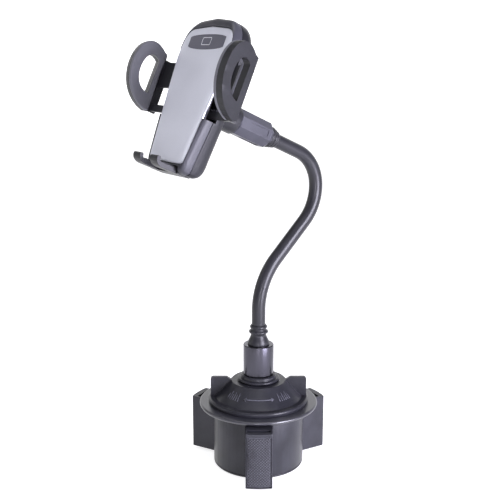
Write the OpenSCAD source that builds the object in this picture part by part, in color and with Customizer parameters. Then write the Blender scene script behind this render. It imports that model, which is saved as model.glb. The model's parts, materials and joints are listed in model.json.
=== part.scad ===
// Cup-holder phone mount: an expanding cup base, a gooseneck and a spring clamp cradle.
// Millimetres. +Z is up, the cradle faces -Y, the origin is the centre of the foot pad's underside.

/* [Cup base] */
// Outer radius of the round body
body_r = 33.6; // [30:0.1:40]
// Height of the body, up to the flange
body_h = 46; // [40:0.5:60]
// Wall of the body shell
body_wall = 2.4; // [1.8:0.1:3]
// Radius of the flange over the wings
flange_r = 44; // [40:0.5:50]
// Thickness of the flange
flange_t = 2.5; // [2:0.1:4]
// Thickness of the bottom cap
floor_t = 2.4; // [2:0.1:4]
// Radius of the rubber foot pad
foot_r = 29.6; // [20:0.1:30]
// Angle from the front (-Y) to the first wing
base_clock = 54; // [0:1:120]

/* [Wings] */
// Radius of the wing faces when expanded
wing_face_r = 53.8; // [50:0.1:58]
// Width of one wing
wing_w = 19; // [14:0.5:22]
// Wall of a wing
wing_wall = 1.8; // [1.2:0.1:2.4]
// Radius of the wing's inner end when expanded
wing_in_r = 28; // [27:0.5:30]
// Thickness of the rubber pad let into a wing's face
pad_t = 1.6; // [1:0.1:2.5]
// How far each wing slides
wing_travel = 16; // [8:0.5:16]
// Radius of a follower pin
pin_r = 2; // [1.5:0.1:2.4]
// Distance of a follower pin from the axis when expanded
pin_reach = 25; // [24:0.5:25.5]

/* [Dial] */
// Radius of the dial's grip ring
dial_r = 37.2; // [34:0.1:41]
// Height of the grip ring
dial_ring_h = 3.4; // [2:0.1:6]
// Radius of the cone's foot
cone_r = 31.5; // [28:0.1:33]
// Radius of the cone's top
cone_top_r = 20; // [17:0.1:24]
// Height of the cone
cone_h = 12.3; // [10:0.1:18]
// Wall of the dial
dial_wall = 2.2; // [1.6:0.1:3]
// Thickness of a grip ear
ear_t = 3; // [2:0.1:5]
// Turn of the dial from expanded to closed
dial_turn = 120; // [90:5:120]

/* [Neck] */
// Radius of the gooseneck sleeve
neck_r = 5; // [4:0.1:6.5]
// Radius of the wound steel core
core_r = 3; // [2:0.1:3.4]
// Straight length above the ferrule
neck_rise = 25.2; // [18:0.1:40]
// Radius of the first bend
bend_1_r = 52; // [40:1:80]
// Angle of the first bend
bend_1_angle = 46; // [20:1:60]
// Straight length between the bends
neck_mid = 36; // [20:1:70]
// Radius of the second bend
bend_2_r = 36; // [28:1:60]
// Radius of the last bend
bend_3_r = 29; // [26:1:50]
// Straight length before the ball nut
neck_tail = 23.3; // [18:0.1:40]
// Radius of the lower ferrule
ferrule_r = 11.3; // [9:0.1:13]
// Length of the lower ferrule
ferrule_h = 23; // [18:0.5:30]

/* [Ball joint] */
// Radius of the ball
ball_r = 8.5; // [7:0.1:9]
// Distance of the ball's centre behind the cradle's reference plane
ball_back = 29; // [27:0.5:34]
// Radius of the octagonal nut, across its corners
nut_r = 9.7; // [9.2:0.1:12]
// Length of the nut
nut_h = 31.5; // [20:0.5:34]

/* [Cradle] */
// Backward lean of the cradle
lean = 24; // [0:1:40]
// Half width of the cradle's shoulders
shoulder = 30.5; // [28:0.1:36]
// Half width at the lower edge
hip = 24; // [22:0.1:28]
// Height of the top edge above the ball's axis
cradle_top = 57; // [50:0.5:66]
// Depth of the bottom edge below the ball's axis
cradle_low = 50.5; // [46:0.5:60]
// Thickness from the frame's front to the shell's back
cradle_t = 19.5; // [17:0.1:24]
// Wall of the shell
shell_wall = 1.8; // [1.4:0.1:2.4]
// Thickness of the silver face plate
plate_t = 1.6; // [1:0.1:2.5]

/* [Clamp] */
// Distance between the jaw pads when open
jaw_open = 96; // [84:1:110]
// How far each jaw slides in
jaw_travel = 16.5; // [8:0.5:16.5]
// Thickness of a jaw's plastic ring
jaw_t = 5.5; // [4:0.1:8]
// Thickness of a jaw's rubber pad
jaw_pad_t = 3; // [2:0.1:5]
// Inward lean of the jaws' front edges
toe_in = 10; // [0:1:15]
// Number of pinion teeth
pinion_teeth = 11; // [9:1:13]
// Gear module
gear_m = 1; // [0.9:0.05:1.1]
// Half spacing of the two feet
foot_half = 11; // [9:0.5:13]
// Width of one foot
foot_w = 9; // [7:0.5:10]
// How far the feet reach forward
foot_reach = 17; // [12:0.5:24]
// Travel of the release button
button_travel = 1.8; // [1:0.1:2]

/* [Hidden] */
$fn = 96;
e = 0.01;
gap = 0.3;           // clearance between moving pieces
run_fit = 0.06;      // radial clearance of a running fit
seat_fit = 0.05;     // radial clearance of a pressed or screwed piece
smooth_steps = 20;   // points along a curved outline
WINGS = [for (i = [0:2]) -90 + base_clock + 120 * i];

// ---- cup base levels
wing_z0 = floor_t + gap;
wing_z1 = body_h - 2.2;
flange_z = body_h;
dial_z = flange_z + flange_t + gap;
cone_z = dial_z + dial_ring_h;
cone_top_z = cone_z + cone_h;
flange_bore = cone_r - 1.7;
cam_r = flange_bore - 1;
cam_t = 3;
cam_z = body_h - 1;
post_r = 4.5;
hub_r = 9;
tongue_w = 7;
tongue_z0 = wing_z1 - 5.6;
tongue_z1 = wing_z1 - 0.8;
boss_ring = 17;      // radius of the dial bosses, between the cam slots
case_boss_ring = body_r - body_wall - 2.6;
collar_r = 15.6;
collar_h = 4.6;
collar_z = cone_top_z + gap;
ferrule_z = collar_z + collar_h;
neck_z = ferrule_z + ferrule_h;

// ---- neck path: one stretch for each link, as [length, curvature, turn], walked from the ferrule's top
lean_turn = 90 - lean;
function straight(len) = [len, 0];
function bend(r, turn) = [r * abs(turn) * PI / 180, sign(turn) / r];
SEGMENTS = [
    straight(neck_rise),
    bend(bend_1_r, bend_1_angle / 2),
    bend(bend_1_r, bend_1_angle / 2),
    straight(neck_mid),
    bend(bend_2_r, -bend_1_angle),
    bend(bend_3_r, -lean_turn / 2),
    bend(bend_3_r, -lean_turn / 2),
    straight(neck_tail)
];
neck_joints = len(SEGMENTS) - 1;
function add_up(v, i = 0) = i < len(v) ? v[i][0] + add_up(v, i + 1) : 0;
neck_len = add_up(SEGMENTS);
function start_of(i) = i == 0 ? 0 : start_of(i - 1) + SEGMENTS[i - 1][0];
// a state on the path is [y, z, angle from +Z towards +Y]
function advance(p, s, k) = k == 0
    ? [p[0] + s * sin(p[2]), p[1] + s * cos(p[2]), p[2]]
    : let (b = p[2] + s * k * 180 / PI)
      [p[0] + (cos(p[2]) - cos(b)) / k, p[1] + (sin(b) - sin(p[2])) / k, b];
function walk(s, p, i = 0) = i == len(SEGMENTS) - 1 || s <= SEGMENTS[i][0]
    ? advance(p, s, SEGMENTS[i][1])
    : walk(s - SEGMENTS[i][0], advance(p, SEGMENTS[i][0], SEGMENTS[i][1]), i + 1);
function path(s) = walk(s, [0, neck_z, 0]);
knuckle_r = neck_r + 0.25;
knuckle_gap = 0.35;

// ---- stem levels, measured from the cradle's reference plane towards the neck
stem_thread_r = 7;
nut_z0 = ball_back + 9;
nut_z1 = nut_z0 + nut_h;
upper_collar_h = 8;
stem_len = nut_z1 + upper_collar_h;
neck_end = path(neck_len);
cradle_y = neck_end[0] - stem_len * cos(lean);
cradle_z = neck_end[1] + stem_len * sin(lean);

// ---- cradle levels: local x to the right, y to the back, z up the cradle
frame_front = -2;
plate_front = -2.8;
plate_back = plate_front + plate_t;
seam = 5;
shell_back = frame_front + cradle_t;
plate_top = cradle_top - 7;
plate_low = cradle_low - 6;
arm_layers = [1, 3.6];
arm_t = 2;
pinion_z = 0.5;
pitch_r = gear_m * pinion_teeth / 2;
rack_hi = pinion_z + pitch_r;
rack_lo = pinion_z - pitch_r;
arm_hi_top = rack_hi + 20;
arm_lo_low = rack_lo - 6;
window_hi = arm_hi_top + 8;
window_lo = arm_lo_low - 2;
axle_r = 1.95;
button_z = 37;
button_r = 6;
notch_half = foot_half + foot_w / 2 + 2;
foot_thick = 3;
screw_r = 1.2;
screw_head_r = 2.3;
SHELL_SCREWS = [[-16, 42], [16, 42], [-14, -32], [14, -32]];
frame_floor = 0.5;   // inner face of the frame's floor
spring_seat = 9;     // where the button's spring stands in its well
button_proud = 1.9;  // how far the button stands out of the shell
button_cap = 4.4;    // length of the button's cap
button_stem_r = 2.2;

// ---- small helpers
function bezier(p, t) = pow(1 - t, 3) * p[0] + 3 * t * pow(1 - t, 2) * p[1]
    + 3 * t * t * (1 - t) * p[2] + t * t * t * p[3];
function curve(p, n = smooth_steps) = [for (i = [0:n]) bezier(p, i / n)];
function arc(cx, cy, r, a0, a1, n = 8) = [for (i = [0:n]) let (a = a0 + (a1 - a0) * i / n)
    [cx + r * cos(a), cy + r * sin(a)]];
function mirrored(v) = [for (i = [len(v) - 1:-1:0]) [-v[i][0], v[i][1]]];

module in_cradle() translate([0, cradle_y, cradle_z]) rotate([-lean, 0, 0]) children();
module along_stem() in_cradle() rotate([-90, 0, 0]) children();
// a flat outline drawn in the cradle's x and z, given thickness from y0 to y1
module slab(y0, y1) translate([0, y1, 0]) rotate([90, 0, 0]) linear_extrude(y1 - y0) children();
module tube(r_out, r_in, h) difference() {
    cylinder(r = r_out, h = h);
    translate([0, 0, -1]) cylinder(r = r_in, h = h + 2);
}
module on_path(s) {
    p = path(s);
    translate([0, p[0], p[1]]) rotate([-p[2], 0, 0]) children();
}
// one bend of the neck as a part of a torus, curving towards +Y when k is positive
module bend_rod(len, k, r) {
    bend_r = 1 / abs(k);
    side = k > 0 ? 1 : -1;
    translate([0, side * bend_r, 0]) rotate([90, 0, -90 * side])
        rotate_extrude(angle = len / bend_r * 180 / PI) translate([bend_r, 0]) circle(r = r);
}
// stretch i of the neck as a round rod that stops short of its end
module link_rod(i, r, short = 0) on_path(start_of(i)) {
    if (SEGMENTS[i][1] == 0) cylinder(r = r, h = SEGMENTS[i][0] - short);
    else bend_rod(SEGMENTS[i][0] - short, SEGMENTS[i][1], r);
}
module screw(h) {
    cylinder(r = screw_head_r, h = 1.2);
    cylinder(r = screw_r, h = h);
}

// ================= cup base =================

// three windows for the wings and bosses between them
module base_body() color("dimgray") difference() {
    union() {
        translate([0, 0, floor_t]) tube(body_r, body_r - body_wall, body_h - floor_t);
        for (a = WINGS) rotate(a + 60) translate([case_boss_ring, 0, floor_t + 3.2])
            cylinder(r = 3, h = 12);
    }
    for (a = WINGS) rotate(a) translate([wing_in_r, -wing_w / 2 - 0.4, floor_t - 1])
        cube([body_r, wing_w + 0.8, wing_z1 + 0.4 - floor_t + 1]);
    for (a = WINGS) rotate(a + 60) translate([case_boss_ring, 0, floor_t + 3])
        cylinder(r = screw_r + seat_fit, h = 9);
}

// bottom cap with a chamfered rim, guide ribs and screw seats
// the cap's bosses stand just clear of the body's wall
floor_boss_r = body_r - body_wall - case_boss_ring - seat_fit;
module base_floor() color("dimgray") difference() {
    union() {
        rotate_extrude() polygon([[0, 0.2], [body_r - 0.9, 0.2], [body_r, 1.1], [body_r, floor_t - 0.3],
            [body_r - 0.5, floor_t - 0.3], [body_r - 0.5, floor_t], [0, floor_t]]);
        for (a = WINGS) rotate(a + 60) translate([case_boss_ring, 0, floor_t - e])
            cylinder(r = floor_boss_r, h = 3.2 + e);
        for (a = WINGS) for (side = [-1, 1]) rotate(a)
            translate([21, side * (wing_w / 2 + 1.3) - 0.8, floor_t - e]) cube([7.4, 1.6, 6]);
    }
    translate([0, 0, -1]) cylinder(r = foot_r + 0.1, h = 2.2);
    for (a = WINGS) rotate(a + 60) translate([case_boss_ring, 0, 0]) {
        cylinder(r = screw_r + 0.2, h = 10);
        cylinder(r = screw_head_r + 0.2, h = 2.5);
    }
    cylinder(r = post_r - 1.5, h = 10);
}

module foot_pad() color("black") difference() {
    cylinder(r = foot_r, h = 1.2);
    for (a = WINGS) rotate(a + 60) translate([case_boss_ring, 0, -1])
        cylinder(r = screw_head_r + 0.4, h = 4);
}

module floor_screws() color("silver")
    for (a = WINGS) rotate(a + 60) translate([case_boss_ring, 0, 1.3]) screw(12);

// cover ring over the body's rim, with a rolled edge
module flange_cover() color("dimgray") rotate_extrude() polygon(concat(
    [[flange_bore, flange_z - 1.4], [body_r - body_wall - 0.1, flange_z - 1.4],
     [body_r - body_wall - 0.1, flange_z], [flange_r - 0.6, flange_z]],
    arc(flange_r - flange_t / 2, flange_z + flange_t / 2, flange_t / 2, -60, 90),
    [[flange_bore, flange_z + flange_t]]));

// stepped post: wings clear its shank, the dial turns on its hub, the ferrule screws on top
module centre_post() color("gray") difference() {
    union() {
        translate([0, 0, floor_t]) cylinder(r = 9, h = 2.6);
        translate([0, 0, floor_t]) cylinder(r = post_r, h = cam_z + cam_t + 1.6 - floor_t);
        translate([0, 0, cam_z + cam_t + 1.6]) cylinder(r = hub_r, h = collar_z - cam_z - cam_t - 1.6);
        translate([0, 0, collar_z - e]) cylinder(r = 5, h = collar_h + 6);
    }
    translate([0, 0, -1]) cylinder(r = post_r - 1.8, h = 30);
}

// ================= dial =================

module ear() rotate([90, 0, 0]) translate([0, 0, -ear_t / 2]) linear_extrude(ear_t) polygon(concat(
    [[cone_top_r - 1, cone_top_z - 2], [cone_top_r + 0.2, cone_top_z], [cone_top_r + 3.7, cone_top_z + 2.2]],
    arc(dial_r - 1.5 - 2, cone_top_z + 0.2, 2, 90, 0),
    [[dial_r - 1.5, cone_z - 1], [cone_r - 2, cone_z - 1]]));

// grip ring, cone and two grip ears, hollow below
module dial_cap() color("dimgray") difference() {
    union() {
        rotate_extrude() polygon(concat(
            [[hub_r + run_fit, cone_top_z - dial_wall], [cone_top_r - 2.4, cone_top_z - dial_wall],
             [cone_r - 3.4, cone_z - 0.6], [cone_r - 3.4, dial_z]],
            [[dial_r - 0.4, dial_z]],
            arc(dial_r - 1.6, cone_z - 1.6, 1.6, 0, 80),
            [[cone_r + 0.8, cone_z], [cone_r, cone_z + 0.5], [cone_top_r + 0.5, cone_top_z - 0.5],
             [cone_top_r, cone_top_z], [hub_r + run_fit, cone_top_z]]));
        for (a = [base_clock, base_clock + 180]) rotate(a) ear();
        for (a = WINGS) rotate(a) translate([boss_ring, 0, cam_z + cam_t])
            cylinder(r = 3, h = cone_top_z - dial_wall - cam_z - cam_t + e);
    }
    for (a = WINGS) rotate(a) translate([boss_ring, 0, cam_z]) cylinder(r = screw_r + seat_fit, h = 12);
}

// pin radius for a dial turn of t degrees from expanded
cam_rate = wing_travel / dial_turn;
function cam_point(t) = let (r = pin_reach - cam_rate * t) [r * cos(-t), r * sin(-t)];
function cam_normal(t) = let (d = cam_point(t + 0.5) - cam_point(t - 0.5)) [-d[1], d[0]] / norm(d);
module cam_slot() {
    w = pin_r + 0.1;
    turns = [for (i = [0:48]) dial_turn * i / 48];
    linear_extrude(cam_t + 2) polygon(concat(
        [for (t = turns) cam_point(t) + w * cam_normal(t)],
        [for (i = [48:-1:0]) cam_point(turns[i]) - w * cam_normal(turns[i])]));
    for (t = [0, dial_turn]) translate(cam_point(t)) cylinder(r = w, h = cam_t + 2);
}
// disc with three spiral slots that drive the wings
module cam_disc() color("gainsboro") difference() {
    translate([0, 0, cam_z]) cylinder(r = cam_r, h = cam_t - e);
    translate([0, 0, cam_z - 1]) cylinder(r = post_r + 0.6, h = cam_t + 2);
    for (a = WINGS) translate([0, 0, cam_z - 1]) rotate(a) cam_slot();
    for (a = WINGS) rotate(a) translate([boss_ring, 0, cam_z - 1]) {
        cylinder(r = screw_r + 0.1, h = cam_t + 2);
        cylinder(r = screw_head_r + 0.1, h = 2.3);
    }
}

module dial_screws() color("silver")
    for (a = WINGS) rotate(a) translate([boss_ring, 0, cam_z + 0.1]) screw(9);

// ================= wings =================

// hollow slide with a cylindrical face, a finger slot in its top and a tongue for the pin
module wing_shell(i) color("dimgray") rotate(WINGS[i]) difference() {
    union() {
        intersection() {
            translate([wing_in_r, -wing_w / 2, wing_z0]) cube([body_r, wing_w, wing_z1 - wing_z0]);
            cylinder(r = wing_face_r, h = body_h);
        }
        translate([pin_reach - 3, -tongue_w / 2, tongue_z0])
            cube([wing_in_r - pin_reach + 5, tongue_w, tongue_z1 - tongue_z0]);
    }
    translate([wing_in_r + 2, -wing_w / 2 + wing_wall, wing_z0 + wing_wall])
        cube([wing_face_r - pad_t - wing_wall - wing_in_r - 3, wing_w - 2 * wing_wall,
              wing_z1 - wing_z0 - 2 * wing_wall]);
    translate([wing_face_r - 8.2, -wing_w / 2 + 1.2, wing_z1 - 4]) cube([3.7, wing_w - 2.4, 6]);
    translate([0, 0, wing_z0 + 0.6]) difference() {
        translate([wing_face_r - 6, -wing_w / 2 + 0.7, 0])
            cube([8, wing_w - 1.4, wing_z1 - wing_z0 - 2.8]);
        translate([0, 0, -1]) cylinder(r = wing_face_r - pad_t, h = body_h);
    }
    translate([pin_reach, 0, tongue_z0 - 1]) cylinder(r = pin_r + seat_fit, h = 10);
}

module wing_pad(i) color("#222222") rotate(WINGS[i]) intersection() {
    translate([wing_face_r - 6, -wing_w / 2 + 0.8, wing_z0 + 0.7])
        cube([8, wing_w - 1.6, wing_z1 - wing_z0 - 3]);
    tube(wing_face_r, wing_face_r - pad_t + seat_fit, body_h);
}

module follower_pin(i) color("silver") rotate(WINGS[i]) translate([pin_reach, 0, tongue_z0 + 0.4])
    cylinder(r = pin_r, h = cam_z + cam_t - 0.2 - tongue_z0 - 0.4);

// ================= neck foot =================

module collar_ring() color("dimgray") rotate_extrude() polygon(concat(
    [[5 + seat_fit, collar_z + 0.1], [collar_r - 1, collar_z + 0.1]],
    arc(collar_r - 1, collar_z + 1.1, 1, -90, 90, 8),
    [[collar_r - 2.4, collar_z + 2.1], [collar_r - 2.4, collar_z + collar_h - 0.8],
     [collar_r - 3.2, collar_z + collar_h], [5 + seat_fit, collar_z + collar_h]]));

// polished metal tube that screws on the post and holds the neck's end
module lower_ferrule() color("#3a3a40") difference() {
    translate([0, 0, ferrule_z]) rotate_extrude() polygon([[0, 0], [ferrule_r - 0.8, 0], [ferrule_r, 0.8],
        [ferrule_r, ferrule_h - 0.5], [ferrule_r - 0.5, ferrule_h], [0, ferrule_h]]);
    translate([0, 0, ferrule_z - 1]) cylinder(r = 5 + seat_fit, h = 8);
    translate([0, 0, neck_z - 12]) cylinder(r = neck_r + seat_fit, h = 20);
}

// moulded boot: a flared foot and two rings
module lower_boot() color("#202022") rotate_extrude() polygon(concat(
    [[neck_r + seat_fit, neck_z], [9.6, neck_z], [9.6, neck_z + 0.9], [6.6, neck_z + 7.4]],
    arc(6.1, neck_z + 9.2, 1, -70, 90, 6),
    [[5.7, neck_z + 10.6], [5.7, neck_z + 12]],
    arc(5.4, neck_z + 13.4, 1, -60, 60, 6),
    [[neck_r + 0.4, neck_z + 15.6], [neck_r + seat_fit, neck_z + 15.6]]));

// ================= gooseneck =================
// link k is stretch k of the path: a cup at its start and a round knuckle at its end
neck_root = 11;      // how deep the neck's foot goes into the ferrule
knuckle_seam = 12;   // turns a sphere's seam away from the end of its rod
bent_links = [2, 5]; // first and last link whose knuckles need that turn
function seam_turn(k) = k >= bent_links[0] && k <= bent_links[1] ? knuckle_seam : 0;

module neck_sleeve(k) color("#232325") difference() {
    union() {
        link_rod(k, neck_r);
        if (k == 0) translate([0, 0, neck_z - neck_root]) cylinder(r = neck_r, h = neck_root + 1);
        if (k < neck_joints)
            on_path(start_of(k + 1)) rotate([0, 90, seam_turn(k)]) sphere(r = knuckle_r);
    }
    if (k == 0) translate([0, 0, neck_z - neck_root - 1]) cylinder(r = core_r + seat_fit, h = neck_root + 2);
    else on_path(start_of(k)) rotate([0, 90, seam_turn(k)]) sphere(r = knuckle_r + knuckle_gap);
    link_rod(k, core_r + seat_fit, k == neck_joints ? -1 : 1);
}
core_end = 12;       // how deep the core's end goes into the ball socket's stem
module neck_core(k) color("silver") {
    if (k == 0) translate([0, 0, neck_z - neck_root])
        cylinder(r = core_r, h = neck_root + SEGMENTS[0][0] - 1.2);
    else difference() {
        link_rod(k, core_r, k == neck_joints ? -upper_collar_h - core_end : 1.2);
        on_path(start_of(k)) sphere(r = knuckle_r + knuckle_gap + 0.4);
    }
}

// ================= neck head and ball joint =================

// ribbed rubber collar at the neck's upper end
module upper_collar() color("#202022") along_stem() translate([0, 0, nut_z1]) rotate_extrude()
    polygon(concat([[core_r + seat_fit, 0], [7.2, 0]],
        arc(6.6, 1.6, 1, -60, 60, 6), [[6, 2.9]],
        arc(5.9, 4.1, 1, -60, 60, 6), [[5.7, 5.3]],
        arc(5.3, 6.5, 0.9, -60, 60, 6),
        [[neck_r + 0.2, upper_collar_h], [neck_r + 0.2, upper_collar_h - 0.2],
         [core_r + seat_fit, upper_collar_h - 0.2]]));

socket_mouth = ball_back - 3.2;
// cup that grips the ball, with a threaded stem that holds the neck's end
module ball_socket() color("#2c2c30") along_stem() difference() {
    union() {
        translate([0, 0, socket_mouth]) cylinder(r = ball_r + 1.7, h = nut_z0 - gap - socket_mouth);
        translate([0, 0, socket_mouth]) cylinder(r = stem_thread_r, h = nut_z1 - socket_mouth - 0.1);
    }
    translate([0, 0, ball_back]) sphere(r = ball_r + run_fit);
    translate([0, 0, socket_mouth - 1]) cylinder(r1 = ball_r + 0.6, r2 = ball_r - 1, h = 2);
    translate([0, 0, nut_z0 + 8]) cylinder(r = core_r + seat_fit, h = nut_h);
}

// heights and corner radii of the nut's octagons
NUT_LEVELS = [[0, nut_r - 1.2], [1.4, nut_r], [nut_h - 2.8, nut_r], [nut_h - 0.01, nut_r - 2.2]];
// octagonal nut with sunk grip panels and chamfered ends
module ball_nut() color("#6b6b78") along_stem() difference() {
    hull() for (level = NUT_LEVELS) translate([0, 0, nut_z0 + level[0]]) rotate(22.5)
        cylinder(r = level[1], h = 0.01, $fn = 8);
    translate([0, 0, nut_z0 - 1]) cylinder(r = stem_thread_r + run_fit, h = nut_h + 2);
    flat_r = nut_r * cos(22.5);
    for (a = [0:90:270]) rotate(a) translate([flat_r - 0.5, -2.4, nut_z0 + 9]) cube([2, 4.8, nut_h - 15]);
}

core_ball_r = 6;
stud_ball_r = 4;
// the ball in three nested shells, one for each way that it turns
module ball() color("gray") along_stem() translate([0, 0, ball_back]) difference() {
    sphere(r = ball_r);
    sphere(r = core_ball_r + run_fit);
    translate([0, 0, -ball_r - 1]) cylinder(r1 = (ball_r + 1) * 1.5, r2 = 0, h = ball_r + 1);
}
module ball_core() color("silver") along_stem() translate([0, 0, ball_back]) difference() {
    sphere(r = core_ball_r);
    sphere(r = stud_ball_r + run_fit);
    translate([0, 0, -core_ball_r - 1]) cylinder(r1 = (core_ball_r + 1) * 1.6, r2 = 0, h = core_ball_r + 1);
}
module ball_stud() color("silver") along_stem() {
    translate([0, 0, ball_back]) sphere(r = stud_ball_r);
    translate([0, 0, shell_back]) cylinder(r = 2.4, h = ball_back - shell_back);
    translate([0, 0, shell_back]) cylinder(r = 8, h = 1.6);
    translate([0, 0, shell_back - shell_wall - 1.4]) cylinder(r = 3.4, h = shell_wall + 1.5);
}

// ================= cradle =================

waist_z = 4;        // height where the flanks start to lean out to the shoulders
function cradle_outline(grow) = let (
    low = -cradle_low - grow,
    top = cradle_top + grow,
    half = concat(
        [[0, low]],
        curve([[hip - 7, low], [hip - 1, low], [hip - 1 + grow, low + 3], [hip - 0.4 + grow, low + 9]], 8),
        [[hip + 4.6 + grow, window_lo], [shoulder + grow, waist_z + 12]],
        curve([[shoulder + grow, window_hi - 2], [shoulder - 0.5 + grow, window_hi + 10],
               [shoulder - 5 + grow, top - 2], [shoulder - 16, top - 1.4]], 12),
        [[0, top]]))
    concat(half, mirrored([for (i = [1:len(half) - 2]) half[i]]));
function plate_outline(grow) = let (
    low = -plate_low - grow,
    top = plate_top + grow,
    half = concat(
        [[0, low]],
        curve([[hip - 8, low], [hip - 3.5, low], [hip - 2.6 + grow, low + 1.4],
               [hip - 2.2 + grow, low + 6]], 6),
        [[shoulder - 3 + grow, waist_z]],
        curve([[shoulder - 0.6 + grow, window_hi - 6], [shoulder - 0.8 + grow, top - 9],
               [shoulder - 3.4, top - 2.6], [shoulder - 11, top - 1.6]], 10),
        [[0, top]]))
    concat(half, mirrored([for (i = [1:len(half) - 2]) half[i]]));
module cradle_shape(grow) polygon(cradle_outline(grow));
module plate_shape(grow) polygon(plate_outline(grow));

// side recesses in which the arms slide, and the notch for the feet
bracket_lip = 2.1;    // depth of the bracket's lip behind the jaw
bracket_web = 2.6;    // thickness of the web that joins the two bars
module arm_windows(y0, y1) for (side = [-1, 1]) mirror([side < 0 ? 1 : 0, 0, 0])
    translate([shoulder - 5.2, y0, window_lo]) cube([20, y1 - y0, window_hi - window_lo]);
module foot_notch(y0, y1) translate([-notch_half, y0, -cradle_low - 5])
    cube([2 * notch_half, y1 - y0, 9.6]);
module back_form(grow) hull() {
    slab(seam, seam + 5) cradle_shape(grow);
    slab(seam + 7.8, seam + 8 + grow) cradle_shape(grow - 2.4);
    slab(shell_back - 1 + grow, shell_back + grow) cradle_shape(grow - 8);
}

// rear half of the casing: crowned back, pinion axle, screw posts, slot for the foot slide
module rear_shell() color("#333338") in_cradle() difference() {
    union() {
        difference() {
            back_form(0);
            translate([0, -0.2, 0]) back_form(-shell_wall);
        }
        translate([0, shell_back - 1, button_z]) rotate([90, 0, 0])
            cylinder(r = button_r + gap + 1.2, h = shell_back - spring_seat);
        translate([0, shell_back - shell_wall + 0.5, pinion_z]) rotate([90, 0, 0])
            cylinder(r = 3.6, h = shell_back - shell_wall - arm_layers[1] - arm_t - 1.7);
        translate([0, shell_back - 2, pinion_z]) rotate([90, 0, 0])
            cylinder(r = axle_r, h = shell_back - 2 - arm_layers[0]);
        for (p = SHELL_SCREWS) translate([p[0], shell_back - 1.4, p[1]]) rotate([90, 0, 0])
            cylinder(r = 3, h = shell_back - seam - 1.4);
    }
    arm_windows(seam - 1, arm_layers[1] + arm_t + 1);
    foot_notch(seam - 1, 9.4);
    translate([-9.4, 6.6, -cradle_low + 2]) cube([18.8, 2.8, 6]);
    for (p = SHELL_SCREWS) translate([p[0], shell_back + 1, p[1]]) rotate([90, 0, 0]) {
        cylinder(r = screw_r + 0.2, h = 30);
        cylinder(r = screw_head_r + 0.3, h = 3.5);
    }
    translate([0, shell_back + 1, 0]) rotate([90, 0, 0]) cylinder(r = 3.45, h = 4.5);
    translate([0, shell_back + 1, button_z]) rotate([90, 0, 0]) {
        cylinder(r = button_r + gap, h = shell_back + 1 - spring_seat);
        cylinder(r = button_stem_r + gap, h = shell_back);
    }
}

// front half of the casing: rim round the plate, floor behind it, screw bosses
module front_frame() color("#55555c") in_cradle() difference() {
    union() {
        difference() {
            slab(frame_front, seam) cradle_shape(0);
            slab(frame_floor, seam + 1) cradle_shape(-shell_wall - 0.6);
            slab(frame_front - 1, frame_front + 1) plate_shape(0.15);
        }
        for (p = SHELL_SCREWS) translate([p[0], seam, p[1]]) rotate([90, 0, 0])
            cylinder(r = 3, h = seam - frame_front - 2);
    }
    arm_windows(frame_front + 1.9, seam + 1);
    arm_windows(frame_front - 1, frame_front + 1.95);
    foot_notch(frame_front - 1, seam + 1);
    for (p = SHELL_SCREWS) translate([p[0], seam + 1, p[1]]) rotate([90, 0, 0])
        cylinder(r = screw_r + seat_fit, h = 6);
    slab(frame_front - 1, frame_front + 4) square([44, 30], center = true);
    slab(pawl_y - button_travel - 2, seam) translate([-7, arm_hi_top - 4]) square([14, 20]);
}

module shell_screws() color("silver") in_cradle() for (p = SHELL_SCREWS)
    translate([p[0], shell_back - 1, p[1]]) rotate([90, 0, 0]) screw(shell_back - seam + 3);

// satin metal-look plate that the phone lies on
module face_plate() color("#d4d5e2") in_cradle() difference() {
    slab(plate_front, plate_back) plate_shape(0);
    slab(plate_front - 1, plate_front + 0.8) badge_shape(0.1);
}
badge_half = 21;
badge_z = plate_top - 10.6;
module badge_shape(grow) {
    w = badge_half + grow;
    polygon(concat(
        curve([[-w, badge_z + 3], [-w * 0.8, badge_z + 5.6 + grow], [w * 0.8, badge_z + 5.6 + grow],
               [w, badge_z + 3]]),
        curve([[w, badge_z - 3.6], [w * 0.8, badge_z - 6.4 - grow], [-w * 0.8, badge_z - 6.4 - grow],
               [-w, badge_z - 3.6]])));
}
module badge() color("#7f7e88") in_cradle() slab(plate_front - 0.1, plate_front + 0.75) badge_shape(0);

// ---- clamp arms and jaws; side is -1 for left, 1 for right
jaw_in = jaw_open / 2;
module jaw_shape() polygon(concat(
    curve([[-2, 31.5], [-25, 51], [-34, -4], [-2, -12]]), [[1, -11], [1, 30.5]]));
module jaw_hole() polygon(curve([[-4, 24], [-16, 36], [-22, 2], [-4.5, 0]]));
// a jaw outline is drawn in y and z, then given thickness from x0 to x1
module jaw_plate(x0, x1) translate([x0, 0, 0]) rotate([90, 0, 90]) linear_extrude(x1 - x0) children();
module jaw_ring(x0, x1) translate([jaw_in, 0, 0]) rotate([0, 0, toe_in]) difference() {
    jaw_plate(x0, x1) jaw_shape();
    jaw_plate(x0 - 1, x1 + 1) jaw_hole();
}
module jaw_only(side) mirror([side < 0 ? 1 : 0, 0, 0]) union() {
    jaw_ring(jaw_pad_t, jaw_pad_t + jaw_t);
    translate([jaw_in + 0.6, 0.1, arm_lo_low - 0.3]) {
        cube([jaw_pad_t + jaw_t - 0.9, bracket_lip, arm_hi_top - arm_lo_low + 0.6]);
        translate([0, 0, -0.3]) cube([bracket_web, arm_layers[1] + arm_t + 0.2, arm_hi_top - arm_lo_low + 1.2]);
    }
}
rack_pitch = PI * gear_m;
rack_root = 0.9 * gear_m;    // from the pitch line to the foot of a rack's teeth
rack_tip = 0.6 * gear_m;     // from the pitch line to the tip of a rack's teeth
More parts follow.
